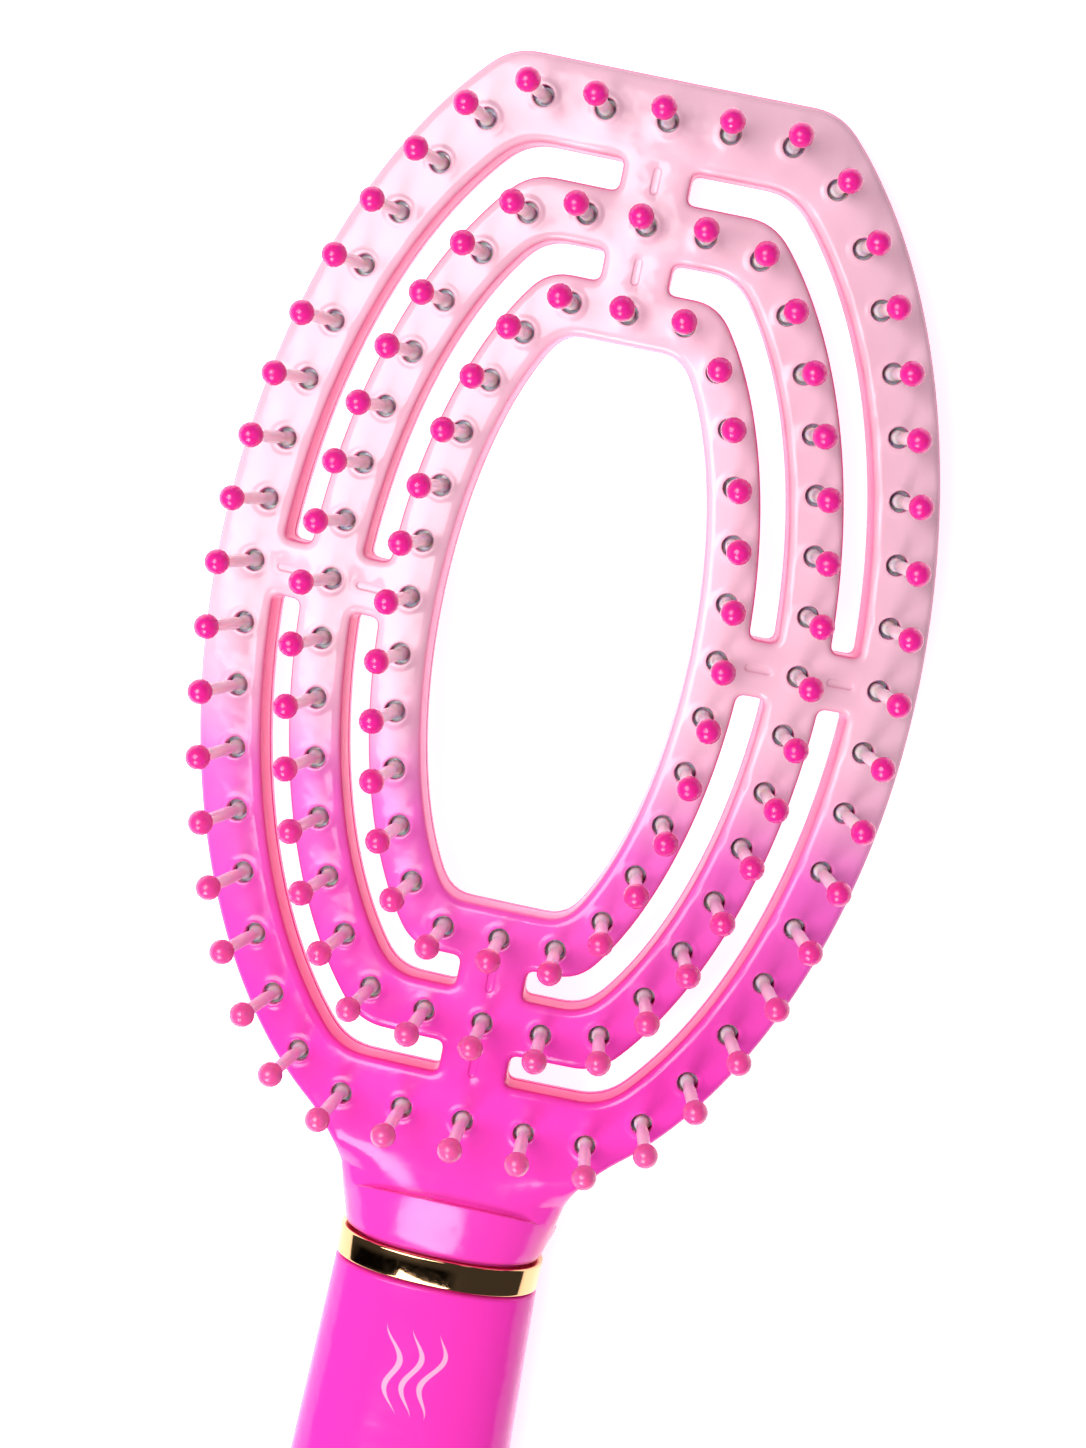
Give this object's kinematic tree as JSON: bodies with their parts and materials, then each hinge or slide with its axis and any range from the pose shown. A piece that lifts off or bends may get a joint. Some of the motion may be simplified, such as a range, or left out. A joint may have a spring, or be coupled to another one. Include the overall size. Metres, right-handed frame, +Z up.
{
  "type": "vented detangling hair brush",
  "caption": "Vented detangling brush: a domed head of joined oval rings with ball-tipped pins on sprung strips, on an oval handle with a polished collar.",
  "frame": {"origin": "middle of the bottom of the bounding box, with the brush lying on its back and the pins up", "axes": "+X across the brush, +Y along it towards the tip of the head, +Z up out of the face"},
  "size_m": [0.081, 0.2502, 0.0336],
  "materials": {
    "head_pink": "glossy moulded shell, pale pink at the tip running to hot pink at the neck",
    "handle_pink": "glossy hot pink moulding",
    "pin_nylon": "pale pink nylon pins with white roots and hot pink dipped balls",
    "collar_gold": "mirror-polished gold plating",
    "pad_foam": "soft white foam rubber",
    "screw_steel": "plain zinc-plated steel"
  },
  "bodies": {
    "brush": {"face_frame": "head_pink", "back_frame": "head_pink", "collar": "collar_gold", "handle_shell": "handle_pink", "end_cap": "handle_pink", "tang_screw": "screw_steel", "outer_pad_upper_right": "pad_foam", "outer_pad_lower_right": "pad_foam", "outer_pad_lower_left": "pad_foam", "outer_pad_upper_left": "pad_foam", "middle_pad_upper_right": "pad_foam", "middle_pad_lower_right": "pad_foam", "middle_pad_lower_left": "pad_foam", "middle_pad_upper_left": "pad_foam", "inner_pad_upper_right": "pad_foam", "inner_pad_lower_right": "pad_foam", "inner_pad_lower_left": "pad_foam", "inner_pad_upper_left": "pad_foam"},
    "outer_pins_upper_right": {"outer_pins_upper_right": "pin_nylon"},
    "outer_pins_lower_right": {"outer_pins_lower_right": "pin_nylon"},
    "outer_pins_lower_left": {"outer_pins_lower_left": "pin_nylon"},
    "outer_pins_upper_left": {"outer_pins_upper_left": "pin_nylon"},
    "middle_pins_upper_right": {"middle_pins_upper_right": "pin_nylon"},
    "middle_pins_lower_right": {"middle_pins_lower_right": "pin_nylon"},
    "middle_pins_lower_left": {"middle_pins_lower_left": "pin_nylon"},
    "middle_pins_upper_left": {"middle_pins_upper_left": "pin_nylon"},
    "inner_pins_upper_right": {"inner_pins_upper_right": "pin_nylon"},
    "inner_pins_lower_right": {"inner_pins_lower_right": "pin_nylon"},
    "inner_pins_lower_left": {"inner_pins_lower_left": "pin_nylon"},
    "inner_pins_upper_left": {"inner_pins_upper_left": "pin_nylon"}
  },
  "joints": [
    {"name": "outer_press_upper_right", "type": "slide", "parent": "brush", "child": "outer_pins_upper_right", "axis": [-0.12, -0.1505, -0.9813], "range_m": [0, 0.0012], "stiffness_N_per_m": 1200, "deforming": ["outer_pad_upper_right"]},
    {"name": "outer_press_lower_right", "type": "slide", "parent": "brush", "child": "outer_pins_lower_right", "axis": [-0.1375, -0.0561, -0.9889], "range_m": [0, 0.0012], "stiffness_N_per_m": 1200, "deforming": ["outer_pad_lower_right"]},
    {"name": "outer_press_lower_left", "type": "slide", "parent": "brush", "child": "outer_pins_lower_left", "axis": [0.121, -0.0493, -0.9914], "range_m": [0, 0.0012], "stiffness_N_per_m": 1200, "deforming": ["outer_pad_lower_left"]},
    {"name": "outer_press_upper_left", "type": "slide", "parent": "brush", "child": "outer_pins_upper_left", "axis": [0.1365, -0.1435, -0.9802], "range_m": [0, 0.0012], "stiffness_N_per_m": 1200, "deforming": ["outer_pad_upper_left"]},
    {"name": "middle_press_upper_right", "type": "slide", "parent": "brush", "child": "middle_pins_upper_right", "axis": [-0.0894, -0.141, -0.986], "range_m": [0, 0.0012], "stiffness_N_per_m": 1200, "deforming": ["middle_pad_upper_right"]},
    {"name": "middle_press_lower_right", "type": "slide", "parent": "brush", "child": "middle_pins_lower_right", "axis": [-0.1052, -0.0665, -0.9922], "range_m": [0, 0.0012], "stiffness_N_per_m": 1200, "deforming": ["middle_pad_lower_right"]},
    {"name": "middle_press_lower_left", "type": "slide", "parent": "brush", "child": "middle_pins_lower_left", "axis": [0.09, -0.0598, -0.9941], "range_m": [0, 0.0012], "stiffness_N_per_m": 1200, "deforming": ["middle_pad_lower_left"]},
    {"name": "middle_press_upper_left", "type": "slide", "parent": "brush", "child": "middle_pins_upper_left", "axis": [0.1046, -0.1341, -0.9854], "range_m": [0, 0.0012], "stiffness_N_per_m": 1200, "deforming": ["middle_pad_upper_left"]},
    {"name": "inner_press_upper_right", "type": "slide", "parent": "brush", "child": "inner_pins_upper_right", "axis": [-0.059, -0.1325, -0.9894], "range_m": [0, 0.0012], "stiffness_N_per_m": 1200, "deforming": ["inner_pad_upper_right"]},
    {"name": "inner_press_lower_right", "type": "slide", "parent": "brush", "child": "inner_pins_lower_right", "axis": [-0.0722, -0.0758, -0.9945], "range_m": [0, 0.0012], "stiffness_N_per_m": 1200, "deforming": ["inner_pad_lower_right"]},
    {"name": "inner_press_lower_left", "type": "slide", "parent": "brush", "child": "inner_pins_lower_left", "axis": [0.0593, -0.069, -0.9959], "range_m": [0, 0.0012], "stiffness_N_per_m": 1200, "deforming": ["inner_pad_lower_left"]},
    {"name": "inner_press_upper_left", "type": "slide", "parent": "brush", "child": "inner_pins_upper_left", "axis": [0.0719, -0.1257, -0.9895], "range_m": [0, 0.0012], "stiffness_N_per_m": 1200, "deforming": ["inner_pad_upper_left"]}
  ]
}
